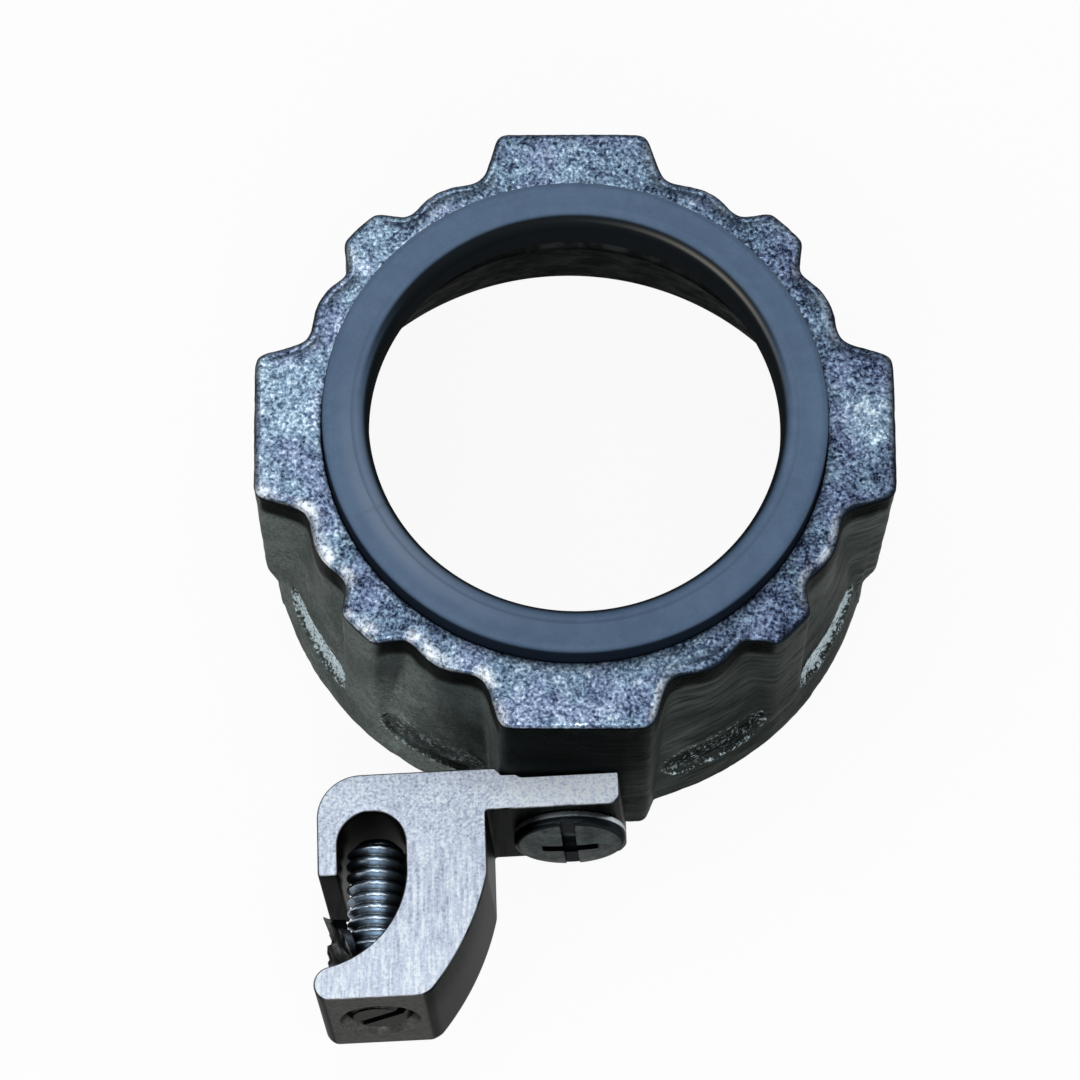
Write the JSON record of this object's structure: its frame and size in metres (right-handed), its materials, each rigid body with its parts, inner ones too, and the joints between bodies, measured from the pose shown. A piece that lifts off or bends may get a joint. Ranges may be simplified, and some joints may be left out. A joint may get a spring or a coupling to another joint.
{
  "type": "grounding bushing",
  "caption": "Insulated grounding bushing: castellated cast ring with an internal conduit thread, a plastic throat liner, and a lay-in wire lug held by a screw and closed by a clamp screw.",
  "frame": {"origin": "on the bore axis, in the plane of the bottom edge", "axes": "+Z along the bore axis from the thread's mouth towards the liner, -Y towards the lay-in lug, +X to its right seen from the front"},
  "size_m": [0.065, 0.0893, 0.033],
  "materials": {
    "cast_body": "zinc-plated casting, grainy top face and duller side walls",
    "liner": "satin moulded plastic",
    "lug": "sawn faces, smooth extruded sides",
    "screws": "zinc-plated steel"
  },
  "bodies": {
    "bushing": {"bushing_body": "cast_body", "insulating_liner": "liner", "lay_in_lug": "lug", "lug_screw": "screws"},
    "clamp_screw": {"conductor_screw": "screws"}
  },
  "joints": [
    {"name": "clamp_screw_travel", "type": "slide", "parent": "bushing", "child": "clamp_screw", "axis": [-0.0244, 0.9982, -0.0542], "range_m": [-0.012, 0]}
  ]
}
